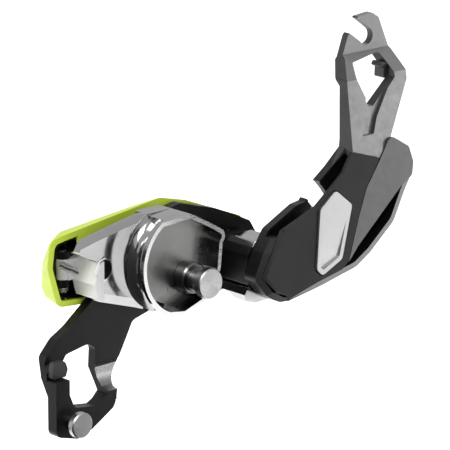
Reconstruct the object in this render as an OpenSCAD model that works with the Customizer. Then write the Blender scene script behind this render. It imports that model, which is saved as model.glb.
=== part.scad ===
// Rope descender: back plate with a lower arm, a sprung steel cam with a folding
// handle, and a front plate that swings open about the pivot post.
// X right, Z up, Y into the back. The origin is the centre of the harness-loop eye,
// on the front face of the back plate. Depths are counted forward from that face.

/* [Layout] */
// Cam axle, right of the eye
axle_x = 44; // [42:0.5:54]
// Cam axle, above the eye
axle_z = 33; // [30:0.5:40]
// Plate pivot, right of the cam axle
pivot_dx = 33.5; // [31:0.5:41]
// Plate pivot, above the cam axle
pivot_dz = 1.2; // [0:0.1:2.5]
// Arm pin, left of the eye
pin_left = 9.3; // [7.5:0.1:11.5]
// Arm pin, below the eye
pin_down = 14.8; // [13.5:0.1:18]
// How far the front plate is swung open
open_angle = 158; // [150:1:165]

/* [Plates] */
// Thickness of the back plate
plate_t = 4; // [3.2:0.1:5]
// How far the foot stands in front of the back plate
foot_h = 8.6; // [7:0.1:10.4]
// Gap between the back plate and the cam
cam_gap = 1; // [0.6:0.1:1.5]
// Thickness of the cam's base, behind the rope groove
base_t = 7; // [5.8:0.1:8.5]
// Width of the rope groove with its flange
sheave_w = 11.5; // [9.6:0.1:14]
// Depth of the dish in the cam's face
dish_depth = 6.6; // [5:0.1:8]
// Gap between the cam's rim and the front plate
plate_gap = 1; // [0.6:0.1:1.5]
// Thickness of the front plate's inner wall
wall_t = 2.5; // [2:0.1:3]
// Depth of the hollow behind the front cover
hollow_h = 5.2; // [5.2:0.1:6.5]
// Thickness of the front cover
cover_t = 1.4; // [1.1:0.1:2]
// Thickness of the hook
hook_t = 3.1; // [2.6:0.1:3.8]

/* [Axle, pivot and pins] */
// Radius of the axle's journal
journal_r = 5; // [4.4:0.1:5.6]
// Radius of the axle's neck
neck_r = 4; // [3.3:0.1:4.3]
// Radius of the axle's head
head_r = 6; // [5.6:0.1:6.6]
// Thickness of the axle's head
head_t = 3; // [2.4:0.1:3.1]
// Radius of the collar on the axle
collar_r = 6.3; // [5.8:0.1:7]
// Radius of the pivot shaft
shaft_r = 4; // [3.3:0.1:4.8]
// Radius of the arm pin's neck
pin_r = 3; // [2.5:0.1:3.4]
// Radius of the arm pin's head
pin_head_r = 5; // [4.4:0.1:5.6]
// Radius of the handle's hinge pin
hinge_r = 1.5; // [1.3:0.1:1.9]
// Radial clearance of a turning fit
run_gap = 0.05; // [0.03:0.01:0.09]
// Clearance between the neck and its slot
slot_gap = 0.3; // [0.2:0.05:0.5]

/* [Rope groove] */
// Outer radius of the rope groove's flanges
flange_r = 21.4; // [20:0.1:23]
// Depth of the rope groove
groove_d = 4; // [3:0.1:4.6]

/* [Handle] */
// Gap between the back plate and the handle
handle_gap = 1; // [0.6:0.1:2]
// Depth of the handle's shell
handle_d = 12; // [11.5:0.1:14]
// Thickness of the handle's shell
shell_t = 2.2; // [1.8:0.1:2.6]

/* [Button] */
// How far the button comes out
button_travel = 2.5; // [2:0.1:2.6]
// Clearance round the button
button_gap = 0.5; // [0.3:0.1:0.8]
// How far the button stands proud when it is held in
button_proud = 0.8; // [0.4:0.1:1.2]

/* [Hidden] */
$fn = 64;

// Colours
dark = [0.17, 0.17, 0.18];
gray = [0.42, 0.42, 0.43];
steel = [0.80, 0.80, 0.80];
lime = [0.78, 0.92, 0.20];
bronze = [0.70, 0.52, 0.28];

// Depths, forward from the back plate's front face
d_cam = cam_gap;
d_base = d_cam + base_t;
d_rim = d_base + sheave_w;
d_dish = d_rim - dish_depth;
d_wall = d_rim + plate_gap;
d_hollow = d_wall + wall_t;
d_cover = d_hollow + hollow_h;
d_front = d_cover + cover_t;
head_gap = 1.5;
d_head = d_hollow + head_gap;
d_hook = foot_h + 0.3;
d_hook_front = d_hook + hook_t;
d_pin_head = d_hook_front + 0.3;
pin_head_t = 2.5;

// Points in the plane of the plates
C = [axle_x, axle_z];
P = C + [pivot_dx, pivot_dz];
A = [-pin_left, -pin_down];
H = P + turned(A - P, -open_angle);
L = P + turned(C - P, -open_angle);
path_r = norm(C - P);
hook_r = norm(A - P);

function turned(v, a) = [v[0] * cos(a) - v[1] * sin(a), v[0] * sin(a) + v[1] * cos(a)];
function unit(v) = v / norm(v);
function polar(c, r, a) = c + r * [cos(a), sin(a)];
function arc(c, r, a0, a1, n = 12) = [for (i = [0:n]) polar(c, r, a0 + (a1 - a0) * i / n)];
function place(o, pts) = [for (p = pts) [p[0] + o[0], p[1] + o[1], len(p) > 2 ? p[2] : 0]];

// Points of one rounded corner at b, between a and c; b[2] is its radius
function corner(a, b, c, n = 6) =
    let (p = [b[0], b[1]],
         u = unit([a[0], a[1]] - p),
         w = unit([c[0], c[1]] - p),
         half = acos(max(-1, min(1, u * w))) / 2,
         m = p + unit(u + w) * b[2] / sin(half),
         t = b[2] / tan(half),
         s = p + u * t - m,
         e = p + w * t - m,
         a0 = atan2(s[1], s[0]),
         sweep = (atan2(e[1], e[0]) - a0 + 540) % 360 - 180)
    [for (i = [0:n]) polar(m, b[2], a0 + sweep * i / n)];

// A closed outline whose points carry their corner radius
function rounded(pts) =
    let (n = len(pts))
    [for (i = [0:n - 1])
        let (b = pts[i])
        for (q = len(b) > 2 && b[2] > 0 ? corner(pts[(i + n - 1) % n], b, pts[(i + 1) % n])
                                        : [[b[0], b[1]]]) q];

function flat(p) = [p[0], p[1]];

// The outline moved inward by d, with its corner radii; the points run counter-clockwise
function shrunk(pts, d) =
    let (n = len(pts))
    [for (i = [0:n - 1])
        let (b = flat(pts[i]),
             u = unit(b - flat(pts[(i + n - 1) % n])),
             v = unit(flat(pts[(i + 1) % n]) - b),
             nu = [-u[1], u[0]],
             nv = [-v[1], v[0]],
             q = b + d * (nu + nv) / (1 + nu * nv),
             bend = u[0] * v[1] - u[1] * v[0],
             r = len(pts[i]) > 2 ? pts[i][2] : 0)
        [q[0], q[1], r == 0 ? 0 : max(0.3, bend > 0 ? r - d : r + d)]];

// A plate with outline pts between two depths
module slab(d0, d1, pts)
    translate([0, -d0, 0]) rotate([90, 0, 0]) linear_extrude(d1 - d0) polygon(rounded(pts));

// A round bar along Y at c, between two depths
module rod(c, d0, d1, r)
    translate([c[0], -d0, c[1]]) rotate([90, 0, 0]) cylinder(h = d1 - d0, r = r);

module cone(c, d0, d1, r0, r1)
    translate([c[0], -d0, c[1]]) rotate([90, 0, 0]) cylinder(h = d1 - d0, r1 = r0, r2 = r1);

// A ring sector about c between two depths
module sector(c, d0, d1, r0, r1, a0, a1)
    translate([c[0], -d0, c[1]]) rotate([90, 0, 0]) rotate([0, 0, a0])
        rotate_extrude(angle = a1 - a0, $fn = 96) translate([r0, 0]) square([r1 - r0, d1 - d0]);

// A flat cut along the outline edge from p to q, on a face at depth d: w wide and h deep
module edge_cut(d, p, q, w, h, over = 5) {
    v = flat(q) - flat(p);
    translate([p[0], -d, p[1]]) rotate([0, -atan2(v[1], v[0]), 0]) translate([-over, 0, 0])
        rotate([90, 0, 90]) linear_extrude(norm(v) + 2 * over)
            polygon([[-2, w * (1 + 2 / h)], [-2, -w / 2], [h * 1.5, -w / 2]]);
}

// A coil of round wire along +Z, its middle line at radius r
module coil(r, wire, pitch, turns, steps = 16, sides = 8) {
    rings = floor(turns * steps);
    pts = [for (i = [0:rings], k = [0:sides - 1])
        let (a = 360 * i / steps,
             q = r + wire / 2 * cos(360 * k / sides),
             h = pitch * i / steps + wire / 2 * sin(360 * k / sides))
        [q * cos(a), q * sin(a), h]];
    walls = [for (i = [0:rings - 1], k = [0:sides - 1])
        let (a = i * sides + k, b = i * sides + (k + 1) % sides)
        [a, a + sides, b + sides, b]];
    ends = [[for (k = [0:sides - 1]) k],
            [for (k = [0:sides - 1]) rings * sides + sides - 1 - k]];
    polyhedron(pts, concat(walls, ends), convexity = 6);
}

// ---------------------------------------------------------------- back plate
edge_r = 35.5;
foot_corner = 3;
eye = [[6, 10.9, 4], [-4.9, 8.9, 2], [-10.6, 0.5, 3], [-9, -7.7, 2], [1.8, -10.9, 2],
       [8.6, -7.4, 2], [9.6, 8.6, 2]];
plate_outline = concat(
    place(C, [[-7, -15, 3], [8, -12.5, 8], [22, -12.5, 4]]),
    place(P, [[-5, -15.5, 3], [6, -14, 6], [15, -4, 5], [14.9, 4.1, 3], [11.3, 10, 3],
              [2, 14.5, 6], [-6.8, 18.2, 12]]),
    place(C, [[8.5, 24.7, 3], [-2, 22.6, 8], [-16, 20, 8], [-27, 18.2, 6]]),
    [for (q = arc(C, edge_r, 150, 188)) q],
    place([0, 0], [[-3, 19, 10], [-9.6, 15.4, 6], [-14.6, 10.1, 4], [-17, 2, 6]]),
    place(A, [[-7.7, -4.5, foot_corner], [3.5, -7.5, 5], [10.2, -4.7, 3], [20.4, 1.4, 3],
              [22.5, 5, 3], [22.6, 9, 6]]),
    [[21.5, 3.2, 6], [25, 9.5, 6], [28.3, 15.7, 3]]);
foot_outline = concat(
    place(A, [[-7.7, -4.5, foot_corner], [3.5, -7.5, 5], [10.2, -4.7, 3], [20.4, 1.4, 3],
              [21.8, 4, 2], [19.8, 8, 1]]),
    [[8.6, -7.4, 3], [1.8, -10.9, 2], [-8, -9.5, 3], [-10.3, -4, 1], [-10.3, 2.2, 0.6],
     [-17, 2, 1]]);
left_rise = [[-17, -4], [-10.3, -4], [-10.3, 0.5], [-7.5, 5, 1], [-14.6, 8, 2], [-17, 4]];
right_rise = [[8.4, -9.5], [12.6, -10.5], [13, -6.4, 3], [20.4, 2], [9.2, 2]];
foot_back = foot_h - 5;
module joggle(x0, x1, z0, z1)
    translate([x0, 0, 0]) rotate([90, 0, 90]) linear_extrude(x1 - x0)
        polygon([[plate_t + 1, z0], [plate_t, z0], [-foot_back, z1], [-foot_back, -40], [plate_t + 1, -40]]);
spring_leg = polar(C, 9, 300);
stop_r = 18;
stop_a = 150;

module back_plate() color(dark)
    difference() {
        union() {
            slab(-plate_t, 0, plate_outline);
            slab(-0.5, foot_h, foot_outline);
            slab(-0.5, 3, left_rise);
            slab(-0.5, foot_h, right_rise);
        }
        // the foot is joggled forward: its back face steps up, sooner on the left leg
        joggle(-30, -3, 8.5, -4.5);
        joggle(-3, 30, 0.5, -9.5);
        slab(-plate_t - 1, 1, eye);
        // bright cylindrical cut where the right leg rises to the foot
        translate([16, -foot_h, 2]) rotate([0, 90, 0]) cylinder(h = 20, r = foot_h - 0.2, center = true);
        rod(C, -plate_t - 1, 1, journal_r);
        cone(C, -plate_t - 0.01, -plate_t + 1.2, journal_r + 1.5, journal_r);
        rod(P, -plate_t - 1, 1, shaft_r);
        rod(A, -plate_t - 1, foot_h + 1, pin_r);
        rod(polar(C, stop_r, stop_a), -plate_t - 1, 1, 1.5);
        rod(spring_leg, -1.5, 1, 0.9);
        for (s = [-1, 1]) rod(P + [0, 7 * s], -plate_t - 1, 1, 1.5);
        for (s = [-1, 1]) cone(P + [0, 7 * s], -plate_t - 0.01, -plate_t + 1.3, 2.8, 1.5);
    }

keeper_c = [-12.9, 4.8];
module loop_keeper_back() color(dark)
    slab(3, 5.4, place(keeper_c, [[-3.6, -2.4, 1], [3.3, -2.4, 1], [4.4, 0.4, 2],
                                  [3, 4.2, 2.4], [-2.6, 4, 1.5]]));

module arm_pin() color(steel) {
    rod(A, foot_back, d_pin_head, pin_r);
    rod(A, d_pin_head, d_pin_head + pin_head_t - 0.5, pin_head_r);
    cone(A, d_pin_head + pin_head_t - 0.5, d_pin_head + pin_head_t, pin_head_r, pin_head_r - 0.5);
}

// ---------------------------------------------------------------- axle
collar_t = 5.1;
d_journal = d_dish + 0.2;
d_collar = d_journal + collar_t;
module cam_axle() color(steel) {
    rod(C, -plate_t + 1.2, d_journal, journal_r);
    cone(C, -plate_t, -plate_t + 1.2, journal_r + 1.5, journal_r);
    rod(C, d_journal, d_head, neck_r);
}
module axle_collar() color(steel)
    difference() {
        union() {
            rod(C, d_journal, d_collar - 0.6, collar_r);
            cone(C, d_collar - 0.6, d_collar, collar_r, collar_r - 0.6);
            rod(C, d_collar, d_rim, neck_r + 0.9);
        }
        rod(C, d_journal - 1, d_rim + 1, neck_r);
    }
module axle_head() color(steel) {
    rod(C, d_head, d_head + head_t - 0.4, head_r);
    cone(C, d_head + head_t - 0.4, d_head + head_t, head_r, head_r - 0.4);
}

stop_len = 3;
module cam_stop_pin() color(steel) rod(polar(C, stop_r, stop_a), -plate_t, d_cam + stop_len, 1.5);

// ---------------------------------------------------------------- pivot post and brake
post_front = d_wall - 0.5;
post_outline = place(P, [[-7.5, -9.5, 2], [6, -9.5, 2], [7.5, -5, 3], [7.5, 8, 3], [-5, 8, 3],
                         [-8.5, 3, 3]]);
module pivot_post() color(dark)
    difference() {
        slab(0, post_front, post_outline);
        rod(P, -1, post_front + 1, shaft_r);
        for (s = [-1, 1]) rod(P + [0, 7 * s - 0.6 * max(s, 0)], -1, 6, 1.3);
        wedge_cut();
    }
// pocket of the wear insert on the post's upper edge
wedge_d = 6.2;
module wedge_cut() slab(wedge_d, post_front + 1, place(P, [[-6, 6.2], [9, 6.2], [9, 12], [-6, 12]]));
module shoe_wedge() color(steel)
    slab(wedge_d, post_front, place(P, [[-5.5, 6.2], [7, 6.2, 0.6], [7, 8.4, 1], [-4, 8.4, 1]]));

rope_saddle_r = 12.7;
saddle_depth = 6.5;
saddle_drop = 24.9;
module brake_shoe() color(steel)
    difference() {
        slab(0.2, post_front, place(P, [[-9.5, -12, 0.8], [-9, -14.6, 1.5], [-4, -16.2, 3], [5, -15.8, 2],
                                        [8.4, -12, 1], [7, -9.5], [-7.5, -9.5]]));
        translate([P[0], -saddle_depth, P[1] - saddle_drop]) rotate([0, 90, 0])
            cylinder(h = 40, r = rope_saddle_r, center = true, $fn = 96);
    }

shaft_head_r = shaft_r + 1.5;
washer_r = shaft_head_r + 1;
d_shaft_head = d_hollow + 2;
module pivot_shaft() color(steel) {
    rod(P, -plate_t, d_shaft_head, shaft_r);
    rod(P, d_shaft_head, d_shaft_head + 2, shaft_head_r);
}
module pivot_washer() color(steel)
    difference() {
        rod(P, d_hollow + 0.9, d_shaft_head - 0.05, washer_r);
        rod(P, d_hollow, d_shaft_head + 1, shaft_r);
    }
module post_screws() color(steel)
    for (s = [-1, 1]) {
        rod(P + [0, 7 * s - 0.6 * max(s, 0)], 0, 5.8, 1.3);
        rod(P + [0, 7 * s], -plate_t + 1.3, 0, 1.3);
        cone(P + [0, 7 * s], -plate_t, -plate_t + 1.3, 2.7, 1.3);
    }

// ---------------------------------------------------------------- cam
rope_c = C + [-5.4, 7.8];
groove_out = [124, 246];
base_outline = place(C, [[-48.9, 16.6, 1], [-38.5, 11.5, 0], [-41.6, 3.3, 0], [-40, -2.9, 1],
              [-37.5, -4.4, 1], [-19.4, -10.2, 2], [-12, -12.9, 4], [-6, -12.9, 4],
              [3.5, -9.6, 3], [12, 1.8, 3], [13, 12.2, 1.5], [14.5, 14.5, 2], [13.6, 17, 2],
              [8.9, 20, 2], [-2.8, 26.4, 3], [-19.4, 26.2, 3], [-40, 22.4, 2], [-46.3, 21, 2]]);
rim_outline = concat(
    arc(rope_c, flange_r, groove_out[0], groove_out[1], 30),
    place(C, [[-6, -12.9, 4], [3.5, -9.6, 3], [12, 1.8, 3], [13, 12.2, 1.5], [14.5, 14.5, 2],
              [13.6, 17, 2], [8.9, 20, 2], [-2.8, 26.4, 3]]));
rim_w = 1.6;
spring_r = 9;
recess_r = 12.5;
recess_h = 5;
bracket_in = edge_r + 1;
bracket_outline = place(C, [[-36.75, 12], [-38.7, 11.4], [-41.4, 3.3], [-39.8, -2.8], [-36.75, -3.5]]);
tongue_outline = place(C, [[-28, 10.5], [-37, 10.5], [-37, -2.6], [-28, -1.5]]);
tongue_t = 2.2;
rivets = [C + [-31, 1], C + [-31, 7.5]];
rivet_r = 1.6;
hole_c = C + [-36.6, 8.6];

module cam() color(steel)
    difference() {
        union() {
            difference() {
                slab(d_cam, d_base, base_outline);
                // flats along the top and the bottom of the panel
                edge_cut(d_base, base_outline[16], base_outline[17], 2.2, 2, 3);
                edge_cut(d_base, base_outline[15], base_outline[16], 2.2, 2, 4);
                edge_cut(d_base, base_outline[4], base_outline[5], 3.6, 3);
            }
            slab(d_base - 0.1, d_rim, rim_outline);
        }
        slab(d_dish, d_rim + 1, shrunk(rim_outline, rim_w));
        // rope groove
        translate([rope_c[0], -(d_base + (sheave_w - 1.8) / 2), rope_c[1]]) rotate([90, 0, 0])
            rotate([0, 0, groove_out[0] - 6]) rotate_extrude(angle = groove_out[1] - groove_out[0] + 12, $fn = 96)
                translate([flange_r + (sheave_w - 1.8) / 2 - groove_d, 0]) circle(r = (sheave_w - 1.8) / 2, $fn = 32);
        rod(C, 0, d_rim, journal_r + 1.6);
        rod(C, 0, d_cam + recess_h, recess_r);
        // arc groove of the stop pin
        sector(C, 0, d_cam + stop_len + 0.4, stop_r - 1.9, stop_r + 1.9, stop_a - 8, stop_a + 30);
        // room for the lever bracket and its tongue
        slab(-1, d_base + 1, place(C, [[-36.6, 14], [-39.2, 12.1], [-43, 3.3], [-41, -6], [-36.6, -6]]));
        slab(-1, d_cam + tongue_t + 0.3, shrunk(tongue_outline, -0.3));
        // the panel's top edge stands clear of the handle behind it
        slab(-1, d_base - 3.4, place(C, [[-52, 15.6], [-40, 17.4], [-20, 21.4], [-15, 22.3], [-15, 32], [-52, 32]]));
        // relief behind the lug, where the folding handle's edge swings past
        slab(-1, d_cam + 1.3, place(C, [[-52, 10], [-40.5, 10], [-40.5, 24], [-52, 24]]));
        rod(hole_c, 0, d_base + 1, 3.9);
        for (c = rivets) rod(c, 0, d_cam + tongue_t + 4, rivet_r);
    }
module cam_bush() color(bronze)
    difference() {
        rod(C, d_cam + 0.2, d_dish, journal_r + 1.6);
        rod(C, 0, d_rim, journal_r + run_gap);
    }
spring_wire = 1.5;
module cam_spring() color(steel)
    translate([C[0], -d_cam - 1, C[1]]) rotate([90, 0, 0]) coil(spring_r, spring_wire, 1.7, 1.9);

// ---------------------------------------------------------------- bracket and hinge
hinge_c = C + [-43.4, 7];
d_hinge = -(plate_t + 4);
barrel_r = hinge_r + 1.1;
barrel_h = 8;
ear_t = 2.6;
ear_gap = 0.3;
ears_h = barrel_h / 2 + ear_gap + ear_t;
fold_spring_h = 2.4;
module at_hinge() translate([hinge_c[0], -d_hinge, hinge_c[1]]) children();
module lever_bracket() color(steel)
    difference() {
        union() {
            slab(-plate_t - 0.8, d_base + 0.4, bracket_outline);
            slab(d_cam + 0.2, d_cam + tongue_t, tongue_outline);
            at_hinge() translate([0, -3.4, -barrel_h / 2]) cube([8, 4.9, barrel_h]);
            at_hinge() cylinder(h = barrel_h, r = barrel_r, center = true);
        }
        rod(C, d_hinge - 5, 0.6, bracket_in);
        at_hinge() cylinder(h = barrel_h + 8, r = hinge_r, center = true);
        for (c = rivets) rod(c, 0, d_cam + tongue_t + 4, rivet_r);
        leg(0.7);
        leg(1.5, 0.8);
    }
// the leg of the fold spring, hooked into a hole in the bracket
leg_end = [C[0] - 40.2, 2.6, C[1] + 5.9];
leg_tip = [C[0] - 46.3, 6.2, C[1] + 9.4];
module leg(r, from = 0) {
    v = leg_tip - leg_end;
    translate(leg_end) rotate([0, 0, atan2(v[1], v[0])]) rotate([0, acos(v[2] / norm(v)), 0])
        translate([0, 0, from]) cylinder(h = norm(v) - from, r = r);
}
module spring_leg() color(steel) leg(0.7);
module bracket_rivets() color(steel) for (c = rivets) rod(c, d_cam + 0.2, d_cam + tongue_t + 4, rivet_r);
module hinge_pin() color(steel)
    at_hinge() translate([0, 0, -ears_h - fold_spring_h]) cylinder(h = 2 * ears_h + fold_spring_h + 0.4, r = hinge_r);

// ---------------------------------------------------------------- handle
d_handle = -(plate_t + handle_gap);
d_handle_back = d_handle - handle_d;
handle_front = place(C, [[-53.4, 9.2, 8], [-48.6, -6.9, 4], [-33.6, -8, 4], [0, -6.5, 20],
    [30, 1.5, 20], [46, 7, 3], [45, 12, 3], [33, 16.6, 10], [16, 23.6, 12], [2.5, 27, 10],
    [-45, 20.9, 8], [-51.8, 19.8, 4]]);
handle_rear = place(C, [[-46.7, -1.2, 4], [-44.6, -7, 4], [-33.6, -7.6, 6], [0, -5.5, 20],
    [29, 2.2, 20], [43, 7, 4], [42.4, 11.4, 4], [32, 16, 10], [13, 22.6, 12], [1.7, 22.2, 16],
    [-37.6, 18.3, 5], [-42.4, 14.7, 5], [-46, 7.9, 5]]);
core_t = 2.2;
liner_t = 0.9;
boss_c = [C + [-22, 4], C + [14, 12]];
// The handle's outer form, tapering to the back, or its hollow
module shell_form(d0, d1, t) hull() {
    slab(d0, d0 + 0.5, shrunk(handle_rear, t));
    slab(d1 - 0.5, d1, shrunk(handle_front, t));
}
lip_t = 1.4;
module handle_shell() color(lime) {
    difference() {
        shell_form(d_handle_back, d_handle, 0);
        shell_form(d_handle_back + shell_t, d_handle + 1, shell_t);
        for (c = boss_c) rod(c, d_handle_back - 1, d_handle, 1.6);
        for (c = boss_c) cone(c, d_handle_back - 0.01, d_handle_back + 1.4, 3, 1.6);
    }
    // lip along the top of the opening
    intersection() {
        slab(d_handle - lip_t, d_handle, shrunk(handle_front, 0.6));
        slab(d_handle - lip_t, d_handle, place(C, [[-38, 16.4], [-20, 18.7], [2.5, 21], [16, 18.6], [26, 15.6],
                                                   [26, 40], [-38, 40]]));
    }
}
d_core = d_handle_back + shell_t;
ear_end = d_hinge - d_core - 0.05;
module handle_core() color(steel)
    difference() {
        union() {
            slab(d_core, d_core + core_t, place(C, [[-38, -5, 1], [-28, -4.8, 3], [0, -2.5, 10], [24, 6, 2],
                                                    [24, 13, 3], [2, 19.6, 8], [-36, 15.4, 2]]));
            for (s = [-1, 1]) at_hinge() translate([0, 0, s * (barrel_h / 2 + ear_gap + ear_t / 2)]) {
                cylinder(h = ear_t, r = barrel_r, center = true);
                linear_extrude(ear_t, center = true)
                    polygon([[-1.6, 2], [4.4, ear_end], [12, ear_end], [12, ear_end - 3], [2, -1.6]]);
            }
            // liner up the inside of the shell, open round the hinge
            difference() {
                intersection() {
                    shell_form(d_core, d_handle + 1, shell_t + 0.05);
                    slab(d_core, d_handle - 1.5, place(C, [[-70, -30], [60, -30], [60, 50], [-70, 50]]));
                }
                shell_form(d_core - 1, d_handle + 2, shell_t + liner_t);
                at_hinge() translate([0, 0, -ears_h - fold_spring_h - 1])
                    cylinder(h = 2 * ears_h + fold_spring_h + 2, r = barrel_r + 2.4);
            }
        }
        for (c = boss_c) rod(c, d_core - 1, d_core + core_t + 1, 1.3);
        at_hinge() cylinder(h = 40, r = hinge_r + run_gap, center = true);
    }
module handle_screws() color(steel)
    for (c = boss_c) {
        rod(c, d_handle_back + 1.4, d_core + core_t, 1.3);
        cone(c, d_handle_back, d_handle_back + 1.4, 2.7, 1.3);
    }
module handle_spring() color(steel)
    at_hinge() translate([0, 0, -ears_h - fold_spring_h + 0.36]) coil(hinge_r + 0.4, 0.7, 0.8, 2.1);

// ---------------------------------------------------------------- front plate
front_outline = place(P, [[-4.1, -12.1, 3], [2.8, -15.9, 3], [23.5, -12.5, 10], [41.6, -8.6, 8],
    [49.4, -4, 8], [61.9, 6.3, 8], [67.5, 17.5, 8], [71.4, 24, 3], [71.8, 29, 3], [69.2, 35.7, 3],
    [58.9, 41.9, 3], [42.2, 41.3, 1], [31.6, 32.2, 2], [22.6, 25.8, 1], [18, 21, 1],
    [13.5, 20.4, 2], [-1, 13.3, 4], [-6.1, 5.5, 3], [-10.8, -4, 3]]);
// the top left side of the hollow is open for the axle's head
open_side = place(P, [[-4, 11], [-0.5, 11], [14, 15], [34, 27], [41, 36], [62, 40], [62, 60], [-4, 60]]);
rim_t = 2.2;
arm_outline = concat(
    place(P, [[55.5, 33]]),
    place(H, [[11.5, -16.8, 1.5], [12.2, -6.3, 1.5], [6.5, 6.8, 1.5], [3, 9, 1], [-4.6, 8.4, 0.6],
              [-10.2, 1.3, 1], [-13.2, -6.8, 1.5], [-20.2, -13.4, 2]]),
    place(P, [[39.2, 36.3]]));
window = place(H, [[-8.7, -26.2, 2.4], [5.3, -15.3, 1], [5.2, -6.6, 1], [-11, -8.4, 1],
                   [-14.9, -13.3, 1], [-12.3, -19.6, 3]]);
// side view of the arm: [depth, height above the pivot]
hook_z = H[1] - P[1];
arm_side = [[d_wall, 30], [d_front - 0.6, 30], [d_front - 0.6, 36], [d_wall + 1.8, hook_z - 13.4],
            [d_hook_front, hook_z - 5.6], [d_hook_front, hook_z + 20], [d_hook, hook_z + 20],
            [d_hook, hook_z - 7.6], [d_wall - 2.2, hook_z - 15.8], [d_wall, 42]];
// gray panel on the right of the cover
panel = place(P, [[36.9, -5.5], [42.1, 0.3, 3], [65, 20.2], [71, 23.6, 2], [71.6, 29, 3], [69, 35.6, 3],
                  [58.8, 41.8, 3], [53.9, 33.8, 1], [46.2, 22.8, 3], [42, 11.5, 3]]);
mouth = pin_r + 0.4;
// flats round the left end, across the plate's rim and its cover
module bevels() {
    n = len(front_outline);
    for (i = [n - 3, n - 2]) edge_cut(d_front, front_outline[i], front_outline[i + 1], 3.2, 2.8, 2);
    edge_cut(d_front, front_outline[n - 1], front_outline[0], 3.4, 3, 2);
    edge_cut(d_front, front_outline[0], front_outline[1], 3.4, 3, 2);
}
// tapered groove below the arm's window
groove_depth = 1.6;
module arm_groove() intersection() {
    slab(d_wall, d_front + 1, place(H, [[-16.6, -34.9, 0.5], [-10.4, -34.9, 0.5], [-7.4, -28.6, 1], [1.8, -17.5],
                                        [-10, -16], [-13.4, -26]]));
    translate([P[0], 0, P[1]]) rotate([90, 0, 90]) translate([0, 0, 20]) linear_extrude(80)
        polygon([[-arm_side[2][0] + groove_depth, arm_side[2][1]], [-arm_side[3][0] + groove_depth, arm_side[3][1]],
                 [-d_front - 2, arm_side[3][1]], [-d_front - 2, arm_side[2][1]]]);
}
module arm() intersection() {
    slab(d_hook - 1, d_front, arm_outline);
    translate([P[0], 0, P[1]]) rotate([90, 0, 90]) translate([0, 0, 20])
        linear_extrude(80) polygon([for (q = arm_side) [-q[0], q[1]]]);
}
module front_plate() color(gray)
    difference() {
        union() {
            slab(d_wall, d_hollow, front_outline);
            difference() {
                slab(d_hollow - 0.1, d_cover + 0.4, front_outline);
                slab(d_hollow, d_cover + 1, shrunk(front_outline, rim_t));
                slab(d_hollow, d_cover + 1, open_side);
            }
            // low rim round the lips
            difference() {
                slab(d_hollow - 0.1, d_hollow + 1.1, front_outline);
                slab(d_hollow - 0.2, d_hollow + 2, shrunk(front_outline, 1.3));
            }
            arm();
            slab(d_cover - 0.6, d_front - 0.1, panel);
        }
        bevels();
        arm_groove();
        slab(0, d_front + 1, window);
        rod(P, d_hollow, d_shaft_head + 2.3, washer_r + 0.3);
        loop_keeper_front();
        // seat of the cover
        slab(d_cover, d_front + 1, shrunk(cover_outline, -0.15));
        // notch of the arm pin
        rod(H, 0, d_front, mouth);
        sector(P, 0, d_wall, hook_r - mouth, hook_r + mouth, angle_of(H - P), angle_of(H - P) + 14);
        // slot of the axle's neck
        rod(L, d_wall - 3, d_hollow + 1, neck_r + slot_gap);
        sector(P, d_wall - 3, d_hollow + 2, path_r - neck_r - slot_gap, path_r + neck_r + slot_gap,
               angle_of(L - P), 75);
        rod(P, d_wall - 1, d_hollow + 1, shaft_r + 2);
        for (c = cover_posts) rod(c, d_wall - 1, d_hollow + 1, 1);
        for (c = cover_posts) cone(c, d_wall, d_wall + 1.1, 2, 1);
    }
function angle_of(v) = atan2(v[1], v[0]);

button_outline = place(P, [[18.9, -5.1, 2], [22, -8.1, 2], [32.4, -3.3, 2.5], [37.6, 17.7, 2],
                           [28.8, 24.9, 2], [20.5, 18.5, 2.5]]);
cover_outline = place(P, [[-8.4, -3.5, 1], [-1.2, -10.6, 1], [4, -12.9, 1], [20.5, -10.4, 6],
    [33.4, -7.8, 2], [36.6, -5.2, 1], [41.6, 11.6, 3], [45.8, 23, 3], [53, 33.6, 1], [38, 38.4, 1],
    [33, 30.5, 1], [19, 20, 2], [1.1, 13.6, 2]]);
cover_posts = [P + [1, -9.7], P + [14, -8.6], P + [8.5, 9.6], P + [38.6, 27]];
module front_cover() color(dark)
    difference() {
        union() {
            slab(d_cover, d_front, cover_outline);
            for (c = cover_posts) rod(c, d_hollow, d_cover, 2.4);
        }
        slab(d_cover - 1, d_front + 1, shrunk(button_outline, -button_gap));
        bevels();
        for (c = cover_posts) rod(c, d_hollow - 1, d_hollow + 4, 1);
    }
module front_bush() color(bronze)
    difference() {
        rod(P, d_wall - 0.2, d_hollow + 0.6, shaft_r + 2);
        rod(P, d_wall - 1, d_hollow + 1, shaft_r + run_gap);
    }
module cover_screws() color(steel)
    for (c = cover_posts) {
        rod(c, d_wall + 1.1, d_hollow + 3.8, 1);
        cone(c, d_wall, d_wall + 1.1, 2, 1);
    }
module loop_keeper_front() color(dark)
    slab(d_hook + 4, d_wall - 2.2, place(H, [[3.4, -16.4, 0.6], [8.2, -16.6, 1], [8.4, -11.4, 1],
                                             [2.4, -9.6, 1], [1.6, -11.4, 0.4], [3.6, -12.4, 0.4]]));

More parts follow.
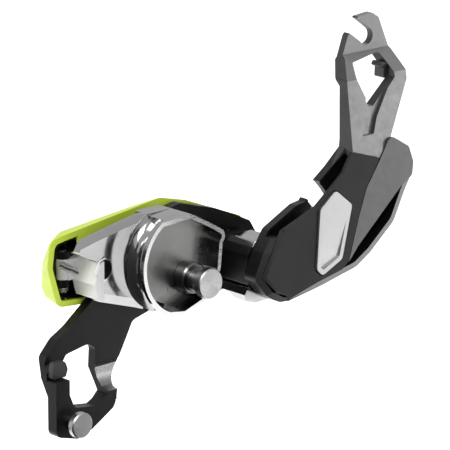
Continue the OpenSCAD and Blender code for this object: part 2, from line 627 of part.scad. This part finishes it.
// ---------------------------------------------------------------- button and latch
d_flange = d_hollow + 1.2;
flange_t = d_cover - button_travel - 0.1 - d_flange;
low_cut = place(P, [[0, 4.5], [60, 4.5], [60, 40], [0, 40]]);
spring_c = P + [26, -2];
latch_in = [path_r - head_r - 3.4, path_r - head_r - 0.9];
nib_r = path_r - neck_r - 0.4;
stud_c = [P + [21.8, -3.4], P + [30.6, 0.6]];
module lock_button() color(steel)
    difference() {
        union() {
            slab(d_head + head_t + 0.4, d_front + button_proud, button_outline);
            difference() {
                slab(d_flange, d_head + head_t + 1, shrunk(button_outline, 0.8));
                slab(d_flange - 1, d_head + head_t + 0.4, low_cut);
            }
            difference() {
                slab(d_flange, d_flange + flange_t, shrunk(button_outline, -1.6));
                slab(d_flange - 1, d_front, low_cut);
            }
        }
        // thumb scoop, deepest at the lower end
        intersection() {
            slab(d_front - 1, d_front + 2, shrunk(button_outline, 1.9));
            translate([0, 0, P[1]]) rotate([90, 0, 90]) linear_extrude(200)
                polygon([[-d_front - 2, 13], [-d_front - button_proud, 12], [-d_front - button_proud + 1.2, -6.5],
                         [-d_front - 2, -6.5]]);
        }
        rod(spring_c, d_flange - 1, d_front - 1, 2.6);
        for (c = stud_c) rod(c, d_flange - 1, d_flange + 2.4, 1);
    }
latch_t = 1;
module latch_plate() color(steel)
    difference() {
        union() {
            sector(P, d_flange - latch_t, d_flange, latch_in[0], latch_in[1], -14, 39);
            sector(P, d_flange - latch_t, d_flange, latch_in[1] - 0.5, nib_r, 33, 39);
            slab(d_flange - latch_t, d_flange, place(P, [[19.4, -4.6, 1], [22, -7, 1], [31.4, -2.6, 1],
                                                         [32.4, 2, 1], [20, 2, 1]]));
        }
        rod(spring_c, 0, d_front, 2.8);
        for (c = stud_c) rod(c, 0, d_front, 1);
    }
module button_rivets() color(steel)
    for (c = stud_c) rod(c, d_flange - latch_t + 0.1, d_flange + 2.4, 1);
module button_spring() color(steel)
    translate([spring_c[0], -d_hollow - 0.32, spring_c[1]]) rotate([90, 0, 0]) coil(2, 0.6, 1.1, 3.8);

back_plate();
loop_keeper_back();
arm_pin();
cam_axle();
axle_collar();
axle_head();
cam_stop_pin();
pivot_post();
brake_shoe();
shoe_wedge();
pivot_shaft();
pivot_washer();
post_screws();
cam();
cam_bush();
cam_spring();
lever_bracket();
bracket_rivets();
hinge_pin();
spring_leg();
handle_shell();
handle_core();
handle_screws();
handle_spring();
front_plate();
front_cover();
front_bush();
cover_screws();
loop_keeper_front();
button_spring();
lock_button();
latch_plate();
button_rivets();
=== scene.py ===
import math

import bmesh
import bpy
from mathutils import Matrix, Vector


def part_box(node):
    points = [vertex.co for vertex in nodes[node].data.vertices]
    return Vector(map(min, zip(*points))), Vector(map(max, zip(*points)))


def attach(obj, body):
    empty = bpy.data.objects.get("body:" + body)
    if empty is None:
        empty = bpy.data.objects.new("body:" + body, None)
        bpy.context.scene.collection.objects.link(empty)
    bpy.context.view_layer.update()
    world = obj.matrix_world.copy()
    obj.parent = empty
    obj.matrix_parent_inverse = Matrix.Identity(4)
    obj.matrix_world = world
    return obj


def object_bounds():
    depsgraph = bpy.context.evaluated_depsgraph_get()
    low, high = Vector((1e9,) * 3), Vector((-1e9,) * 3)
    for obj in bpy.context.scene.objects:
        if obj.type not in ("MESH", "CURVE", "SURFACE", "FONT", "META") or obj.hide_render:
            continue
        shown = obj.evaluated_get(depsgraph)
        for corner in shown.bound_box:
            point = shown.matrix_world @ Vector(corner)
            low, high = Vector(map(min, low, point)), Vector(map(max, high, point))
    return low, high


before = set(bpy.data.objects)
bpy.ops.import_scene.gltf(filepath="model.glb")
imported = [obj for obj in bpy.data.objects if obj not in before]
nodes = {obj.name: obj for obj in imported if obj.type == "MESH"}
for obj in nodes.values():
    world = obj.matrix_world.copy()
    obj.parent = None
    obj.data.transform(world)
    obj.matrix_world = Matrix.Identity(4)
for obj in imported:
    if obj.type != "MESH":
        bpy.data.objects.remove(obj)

cad_lo, cad_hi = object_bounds()
MM = 0.001


# ---------------------------------------------------------------- shader node helpers
def new_material(name):
    m = bpy.data.materials.new(name)
    m.use_nodes = True
    t = m.node_tree
    for n in list(t.nodes):
        t.nodes.remove(n)
    out = t.nodes.new("ShaderNodeOutputMaterial")
    bsdf = t.nodes.new("ShaderNodeBsdfPrincipled")
    t.links.new(bsdf.outputs[0], out.inputs[0])
    return m, t, bsdf


def coords(t, scale=(1, 1, 1)):
    tc = t.nodes.new("ShaderNodeTexCoord")
    mp = t.nodes.new("ShaderNodeMapping")
    mp.inputs["Scale"].default_value = scale
    t.links.new(tc.outputs["Object"], mp.inputs["Vector"])
    return mp.outputs[0]


def noise(t, vec, scale, detail=3.0, rough=0.5):
    n = t.nodes.new("ShaderNodeTexNoise")
    n.inputs["Scale"].default_value = scale
    n.inputs["Detail"].default_value = detail
    n.inputs["Roughness"].default_value = rough
    t.links.new(vec, n.inputs["Vector"])
    return n.outputs["Fac"]


def remap(t, value, lo, hi, a=0.3, b=0.7):
    """value from the range a to b, spread over the range lo to hi."""
    r = t.nodes.new("ShaderNodeMapRange")
    r.inputs["From Min"].default_value = a
    r.inputs["From Max"].default_value = b
    r.inputs["To Min"].default_value = lo
    r.inputs["To Max"].default_value = hi
    t.links.new(value, r.inputs["Value"])
    return r.outputs[0]


def math_node(t, op, a, b=None):
    n = t.nodes.new("ShaderNodeMath")
    n.operation = op
    for i, v in enumerate((a, b)):
        if v is None:
            continue
        if isinstance(v, (int, float)):
            n.inputs[i].default_value = v
        else:
            t.links.new(v, n.inputs[i])
    return n.outputs[0]


def two_tone(t, fac, dark, light):
    r = t.nodes.new("ShaderNodeValToRGB")
    r.color_ramp.elements[0].color = (*dark, 1)
    r.color_ramp.elements[1].color = (*light, 1)
    t.links.new(fac, r.inputs[0])
    return r.outputs[0]


def bump(t, height, strength, distance, normal=None):
    b = t.nodes.new("ShaderNodeBump")
    b.inputs["Strength"].default_value = strength
    b.inputs["Distance"].default_value = distance
    t.links.new(height, b.inputs["Height"])
    if normal is not None:
        t.links.new(normal, b.inputs["Normal"])
    return b.outputs[0]


def ring_distance(t, cx, cz):
    """Distance from the line through (cx, cz) along Y, in metres."""
    sep = t.nodes.new("ShaderNodeSeparateXYZ")
    t.links.new(coords(t), sep.inputs[0])
    dx = math_node(t, "SUBTRACT", sep.outputs[0], cx)
    dz = math_node(t, "SUBTRACT", sep.outputs[2], cz)
    squares = math_node(t, "ADD", math_node(t, "MULTIPLY", dx, dx), math_node(t, "MULTIPLY", dz, dz))
    return math_node(t, "SQRT", squares)


def gray(value):
    return (value, value, value)


# ---------------------------------------------------------------- kinds of finish
def anodised(name, dark, light, rough, grain=0.12, metallic=0.85):
    """Bead-blasted and anodised aluminium: fine grain, faint cloudy tone, soft gloss."""
    m, t, b = new_material(name)
    v = coords(t)
    cloud = noise(t, v, 60, 3)
    fine = noise(t, v, 5200, 2)
    wear = noise(t, v, 420, 5, 0.6)
    t.links.new(two_tone(t, remap(t, cloud, 0, 1, 0.2, 0.8), dark, light), b.inputs["Base Color"])
    t.links.new(remap(t, wear, rough - 0.05, rough + 0.08), b.inputs["Roughness"])
    t.links.new(bump(t, fine, grain, 0.00004), b.inputs["Normal"])
    b.inputs["Metallic"].default_value = metallic
    return m


def polished(name, tone, rough, wave):
    """Mirror-polished cast steel: long soft undulations and faint polishing lines."""
    m, t, b = new_material(name)
    v = coords(t)
    lines = noise(t, coords(t, (260, 260, 5200)), 1.0, 3)
    light = (tone + 0.03, tone + 0.03, tone + 0.025)
    t.links.new(two_tone(t, remap(t, noise(t, v, 90, 3), 0, 1), gray(tone - 0.05), light),
                b.inputs["Base Color"])
    t.links.new(remap(t, lines, rough - 0.03, rough + 0.07), b.inputs["Roughness"])
    undulation = bump(t, noise(t, v, 120, 1), wave, 0.0006)
    t.links.new(bump(t, lines, 0.03, 0.00002, undulation), b.inputs["Normal"])
    b.inputs["Metallic"].default_value = 1.0
    return m


def brushed(name, scale, tone, rough, aniso=0.5):
    """Satin steel with straight brushing lines; scale stretches the lines."""
    m, t, b = new_material(name)
    lines = noise(t, coords(t, scale), 1.0, 4, 0.6)
    t.links.new(two_tone(t, remap(t, lines, 0, 1), gray(tone - 0.07), gray(tone + 0.06)),
                b.inputs["Base Color"])
    t.links.new(remap(t, lines, rough - 0.06, rough + 0.1), b.inputs["Roughness"])
    t.links.new(bump(t, lines, 0.1, 0.00002), b.inputs["Normal"])
    b.inputs["Metallic"].default_value = 1.0
    b.inputs["Anisotropic"].default_value = aniso
    return m


def turned(name, centre, tone, rough=0.3, aniso=0.75):
    """Steel faced on a lathe: rings about the centre, with the light drawn out across them."""
    m, t, b = new_material(name)
    d = ring_distance(t, centre.x, centre.z)
    c = t.nodes.new("ShaderNodeCombineXYZ")
    t.links.new(math_node(t, "MULTIPLY", d, 4200), c.inputs[0])
    rings = noise(t, c.outputs[0], 1.0, 4, 0.7)
    t.links.new(two_tone(t, remap(t, rings, 0, 1), gray(tone - 0.06), gray(tone + 0.06)),
                b.inputs["Base Color"])
    t.links.new(remap(t, rings, rough - 0.05, rough + 0.06), b.inputs["Roughness"])
    t.links.new(bump(t, rings, 0.12, 0.00002), b.inputs["Normal"])
    b.inputs["Metallic"].default_value = 1.0
    b.inputs["Anisotropic"].default_value = aniso
    tangent = t.nodes.new("ShaderNodeTangent")
    tangent.direction_type = "RADIAL"
    tangent.axis = "Y"
    t.links.new(tangent.outputs[0], b.inputs["Tangent"])
    return m


def moulded(name, dark, light, rough, grain=0.25):
    """Moulded plastic with a spark-eroded grain and faint flow marks."""
    m, t, b = new_material(name)
    v = coords(t)
    flow = noise(t, coords(t, (60, 60, 160)), 1.0, 3)
    wear = noise(t, v, 700, 4)
    t.links.new(two_tone(t, remap(t, flow, 0, 1), dark, light), b.inputs["Base Color"])
    t.links.new(remap(t, wear, rough - 0.05, rough + 0.06), b.inputs["Roughness"])
    t.links.new(bump(t, noise(t, v, 3600, 2), grain, 0.00003), b.inputs["Normal"])
    return m


# ---------------------------------------------------------------- places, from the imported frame
def middle(node):
    lo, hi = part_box(node)
    return (lo + hi) / 2


axle, pin, pivot = middle("axle_head"), middle("arm_pin"), middle("pivot_shaft")
cam_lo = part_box("cam")[0]
plate_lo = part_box("front_plate")[0]
cover_lo, cover_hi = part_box("front_cover")
panel_y = cam_lo.y + 11.5 * MM   # front of the cam's panel, behind the rope groove
dish_y = cam_lo.y + 6.7 * MM     # just in front of the dish's floor
hole = Vector((-36.6, 8.6))      # hole in the cam's panel, from the axle's x and z, in mm
hole_r = 3.9

# ---------------------------------------------------------------- materials
BLACK_AND_HOLE_SHADE = anodised("black_anodised", (0.017, 0.017, 0.018), (0.026, 0.026, 0.027), 0.36)
BLACK_EDGE = anodised("black_anodised_edge", (0.055, 0.055, 0.056), (0.09, 0.09, 0.092), 0.3, 0.05)
GRAY = anodised("gray_anodised", gray(0.215), gray(0.24), 0.4, 0.16)
# darker copy of the plate's gray: painted shade on the lower panel
PANEL_SHADE = anodised("gray_panel_painted_shade", gray(0.125), gray(0.145), 0.4, 0.16)
# near-black edges for the gray plate: painted shade, dark outlines along its edges
GRAY_EDGE_SHADE = anodised("gray_edge_painted_shade", gray(0.02), gray(0.03), 0.34, 0.05)
# darker copy of the plate's gray: painted shade for the flanks facing left
FLANK_SHADE = anodised("gray_flank_painted_shade", gray(0.05), gray(0.062), 0.42, 0.12)
# the dark cover's anodise; on the front plate it is painted shade in the recess round the cover
COVER_AND_RECESS_SHADE = anodised("cover_anodised_and_recess_shade", gray(0.024), gray(0.032), 0.38, 0.12)
DISH = anodised("dish_floor", (0.24, 0.24, 0.235), (0.30, 0.30, 0.295), 0.34, 0.25, 1.0)
BRIGHT = anodised("bright_cast", gray(0.66), gray(0.74), 0.42, 0.05, 0.55)
SILVER = anodised("button_steel", gray(0.5), gray(0.54), 0.32, 0.0, 0.9)
POLISHED = polished("polished_steel", 0.50, 0.10, 0.04)
# lighter copy of the polished steel: painted highlight on edges, the cam's rim and the hole bead
POLISHED_HIGHLIGHT = polished("polished_painted_highlight", 0.80, 0.14, 0.0)
# darker copy of the polished steel: on the dish walls it is painted shade; it also serves the collar and
# the ejector marks
DARK_POLISH_AND_SHADE = polished("dark_polish_and_painted_shade", 0.22, 0.16, 0.02)
MILLED = brushed("milled_face", (900, 5200, 900), 0.42, 0.3)
SATIN = brushed("satin_steel", (700, 5200, 5200), 0.6, 0.27, 0.3)
SPRING = brushed("spring_wire", (3000, 3000, 3000), 0.4, 0.3, 0.2)
BRONZE = brushed("sintered_bronze", (2400, 2400, 2400), 0.3, 0.4, 0.0)
AXLE = turned("turned_axle", axle, 0.52, 0.26, 0.85)
PIN = turned("turned_pin", pin, 0.55)
PIVOT = turned("turned_pivot", pivot, 0.5)
LIME = moulded("lime_plastic", (0.44, 0.57, 0.038), (0.48, 0.61, 0.048), 0.42)
PLASTIC = moulded("black_plastic", gray(0.014), gray(0.022), 0.42)


# ---------------------------------------------------------------- CAD nodes: finish and edges
def soften(o, width, segments):
    """Machined edges and flat shading by modifiers: the CAD mesh itself stays."""
    for p in o.data.polygons:
        p.use_smooth = True
    if "custom_normal" in o.data.attributes:
        o.data.attributes.remove(o.data.attributes["custom_normal"])
    weld = o.modifiers.new("weld", "WELD")
    weld.merge_threshold = 1e-6
    flat = o.modifiers.new("flat", "DECIMATE")
    flat.decimate_type = "DISSOLVE"
    flat.angle_limit = math.radians(0.4)
    flat.delimit = {"MATERIAL"}
    edges = o.modifiers.new("edges", "BEVEL")
    edges.width = width * MM
    edges.segments = segments
    edges.limit_method = "ANGLE"
    edges.angle_limit = math.radians(32)
    edges.use_clamp_overlap = True
    edges.miter_outer = "MITER_SHARP"
    if len(o.data.materials) > 1:
        edges.material = 1
    normals = o.modifiers.new("normals", "WEIGHTED_NORMAL")
    normals.keep_sharp = True
    normals.weight = 80


def finish_node(name, material, width=0.0, edge=None, segments=2):
    """Gives a CAD node its material, and with a width in mm softened edges, perhaps in another material;
    on some nodes that edge material is painted shade or painted highlight.
    """
    o = nodes[name]
    o.data.materials.clear()
    o.data.materials.append(material)
    if edge is not None:
        o.data.materials.append(edge)
    for p in o.data.polygons:
        p.material_index = 0
    if width:
        soften(o, width, segments)


def repaint(name, material, test):
    """Gives the faces whose centre and normal pass the test another finish."""
    o = nodes[name]
    o.data.materials.append(material)
    k = len(o.data.materials) - 1
    for p in o.data.polygons:
        if test(p.center, p.normal):
            p.material_index = k


PLAIN = {
    SATIN: ("cam_stop_pin", "post_screws", "bracket_rivets", "hinge_pin", "spring_leg", "handle_screws",
            "cover_screws", "latch_plate", "button_rivets"),
    SPRING: ("cam_spring", "handle_spring", "button_spring"),
    BRONZE: ("cam_bush", "front_bush"),
    AXLE: ("cam_axle", "axle_head"),
    PIVOT: ("pivot_shaft", "pivot_washer"),
    PIN: ("arm_pin",),
    DARK_POLISH_AND_SHADE: ("axle_collar",),
    PLASTIC: ("loop_keeper_back",),
    POLISHED: ("cam",),
}
for material, names in PLAIN.items():
    for name in names:
        finish_node(name, material)

finish_node("back_plate", BLACK_AND_HOLE_SHADE, 0.3, BLACK_EDGE)
finish_node("pivot_post", BLACK_AND_HOLE_SHADE, 0.4)
finish_node("brake_shoe", POLISHED, 0.3, POLISHED_HIGHLIGHT)
finish_node("shoe_wedge", POLISHED, 0.2, POLISHED_HIGHLIGHT)
finish_node("lever_bracket", BRIGHT, 0.3, POLISHED_HIGHLIGHT)
finish_node("handle_shell", LIME, 0.6, segments=3)
finish_node("handle_core", BLACK_AND_HOLE_SHADE, 0.2)
# the gray plate's bevelled edges get the near-black painted shade
finish_node("front_plate", GRAY, 0.32, GRAY_EDGE_SHADE)
finish_node("front_cover", COVER_AND_RECESS_SHADE, 0.35, BLACK_EDGE)
finish_node("loop_keeper_front", PLASTIC, 0.25)
finish_node("lock_button", SILVER, 0.5)

# the bright cylindrical cut in the foot of the back plate, about a line along X
cut_line, cut_r = Vector((-8.6 * MM, 2 * MM)), 8.4 * MM


def in_cut(c, n):
    off = abs((c.yz - cut_line).length - cut_r)
    return c.x > 6 * MM and n.y > -0.99 and off < 0.15 * MM


repaint("back_plate", MILLED, in_cut)

# the cam's dish: satin floor, walls facing the axle in painted shade, rim in painted highlight; painted
# shade in black inside the panel's hole
hole_at = axle.xz + hole * MM
repaint("cam", DISH, lambda c, n: n.y < -0.9 and dish_y - 3.5 * MM < c.y < dish_y)
# painted shade: the dish walls facing the axle in the darker polish
repaint("cam", DARK_POLISH_AND_SHADE, lambda c, n: abs(n.y) < 0.5 and c.y < dish_y and n.dot(axle - c) > 0)
# painted shade: the walls of the hole in the polished cam coloured black
repaint("cam", BLACK_AND_HOLE_SHADE, lambda c, n: abs(n.y) < 0.5 and (c.xz - hole_at).length < (hole_r + 0.2) * MM)
# painted highlight: the cam's frontmost rim faces in the lighter polish
repaint("cam", POLISHED_HIGHLIGHT, lambda c, n: n.y < -0.9 and c.y < cam_lo.y + 0.5 * MM)

# the front plate: gray arm, its left-facing flanks darker as painted shade, the lower panel in a darker
# gray as painted shade, black painted shade round the cover
panel_z = cover_hi.z + 1.5 * MM
crease_y, crease_z = cover_lo.y + 2.1 * MM, cover_hi.z - 2.2 * MM
black_x = cover_lo.x + 22 * MM
# painted shade: the lower panel's faces not facing the front, and the frontmost faces, in a darker copy
# of the gray
repaint("front_plate", PANEL_SHADE, lambda c, n: (c.z < panel_z and n.y > -0.9) or c.y < plate_lo.y + 0.3 * MM)
# painted shade: flanks facing left made darker than the lit front
repaint("front_plate", FLANK_SHADE, lambda c, n: n.x < -0.35 and n.y > -0.6)
# painted shade: the gray plate's recess round the cover, and the plate left of black_x, coloured like the
# dark cover
repaint("front_plate", COVER_AND_RECESS_SHADE, lambda c, n: (c.y > crease_y and c.z < crease_z) or c.x < black_x)


# ---------------------------------------------------------------- new meshes
def add_mesh(name, bm, material):
    me = bpy.data.meshes.new(name)
    bm.to_mesh(me)
    bm.free()
    me.materials.append(material)
    o = bpy.data.objects.new(name, me)
    bpy.context.scene.collection.objects.link(o)
    return o


def ring(name, x, y, z, inner, outer, material, steps=48, high=0.12):
    """A thin raised ring on the cam, facing the front: x, z from the axle and all but y in mm."""
    bm = bmesh.new()
    turns = [2 * math.pi * k / steps for k in range(steps)]
    rows = []
    for r, h in ((inner, 0.0), (inner, high), (outer, high), (outer, 0.0)):
        rows.append([bm.verts.new((axle.x + (x + r * math.cos(a)) * MM, y - h * MM,
                                   axle.z + (z + r * math.sin(a)) * MM)) for a in turns])
    for i in range(4):
        a, b = rows[i], rows[(i + 1) % 4]
        for k in range(steps):
            bm.faces.new((a[k], a[(k + 1) % steps], b[(k + 1) % steps], b[k]))
    bmesh.ops.recalc_face_normals(bm, faces=bm.faces)
    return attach(add_mesh(name, bm, material), "cam_body")


floor_of_dish = dish_y - 0.1 * MM
# the bead round the hole in the lighter polish: painted highlight
ring("hole_bead", hole.x, panel_y, hole.y, hole_r, 4.5, POLISHED_HIGHLIGHT, 64, 0.2)
ring("ejector_mark_1", 7.3, floor_of_dish, 8.8, 1.3, 1.65, DARK_POLISH_AND_SHADE)
ring("ejector_mark_2", -7.7, floor_of_dish, -3.5, 1.3, 1.65, DARK_POLISH_AND_SHADE)

# ---------------------------------------------------------------- stage
mid = (cad_lo + cad_hi) / 2
floor_z = cad_lo.z - 0.06


def grid(segments, size):
    bm = bmesh.new()
    bmesh.ops.create_grid(bm, x_segments=segments, y_segments=segments, size=size)
    return bm


def aim(o, where, target=mid):
    """Puts o at a place, with its Z axis pointing away from the target."""
    o.location = where
    o.rotation_mode = "QUATERNION"
    o.rotation_quaternion = (Vector(where) - Vector(target)).to_track_quat("Z", "Y")


paper, t, b = new_material("floor_paper")
t.links.new(two_tone(t, noise(t, coords(t), 6, 3), gray(0.90), gray(0.93)), b.inputs["Base Color"])
b.inputs["Roughness"].default_value = 0.9
b.inputs["Emission Color"].default_value = (1, 1, 1, 1)
b.inputs["Emission Strength"].default_value = 0.45
floor = add_mesh("floor", grid(8, 3.0), paper)
floor.location = (0, 0, floor_z)


def area(name, where, size, power):
    """A soft rectangular light aimed at the object."""
    light = bpy.data.lights.new(name, "AREA")
    light.shape = "RECTANGLE"
    light.size, light.size_y = size
    light.energy = power
    o = bpy.data.objects.new(name, light)
    bpy.context.scene.collection.objects.link(o)
    aim(o, where)


def card(name, where, size, tone=0.01):
    """A studio card that only shows as a reflection in the polished parts."""
    m, _, b = new_material(name)
    b.inputs["Base Color"].default_value = (*gray(tone), 1)
    b.inputs["Roughness"].default_value = 0.9
    o = add_mesh(name, grid(1, 0.5), m)
    o.scale = (*size, 1)
    aim(o, where)
    o.visible_camera = False
    o.visible_diffuse = False
    o.visible_shadow = False


area("key", (-0.55, -0.8, 0.95), (0.7, 0.5), 6)
area("top", (0.1, 0.15, 1.1), (1.1, 0.9), 8)
area("fill", (0.9, -0.75, 0.3), (0.25, 0.9), 2.5)
area("rim", (-0.9, 0.45, 0.3), (0.35, 0.9), 4)
card("flag_table", (0.02, -0.05, floor_z + 0.01), (1.3, 1.3))
card("card_left", (0.165, -0.215, -0.028), (0.06, 0.075), 0.9)
card("flag_right", (0.30, -0.30, -0.02), (0.05, 0.5))
card("flag_front", (-0.05, -0.75, 0.05), (0.16, 0.7))
card("flag_left", (-0.6, -0.25, 0.05), (0.22, 0.8))

world = bpy.data.worlds.new("studio")
bpy.context.scene.world = world
world.use_nodes = True
background = world.node_tree.nodes["Background"]
background.inputs["Color"].default_value = (0.95, 0.95, 0.96, 1)
background.inputs["Strength"].default_value = 0.60

bpy.context.scene.view_settings.view_transform = "Standard"
bpy.context.scene.view_settings.look = "None"

# ---------------------------------------------------------------- camera
azimuth, elevation, distance = math.radians(-42), math.radians(15.5), 1.5
look = Vector((0.0668, -0.010, 0.0484))
back = Vector((math.sin(azimuth) * math.cos(elevation), -math.cos(azimuth) * math.cos(elevation),
               math.sin(elevation)))
lens = bpy.data.cameras.new("camera")
lens.lens = 312
lens.sensor_width = 36
lens.clip_start, lens.clip_end = 0.05, 20
camera = bpy.data.objects.new("camera", lens)
bpy.context.scene.collection.objects.link(camera)
aim(camera, look + back * distance, look)
bpy.context.scene.camera = camera
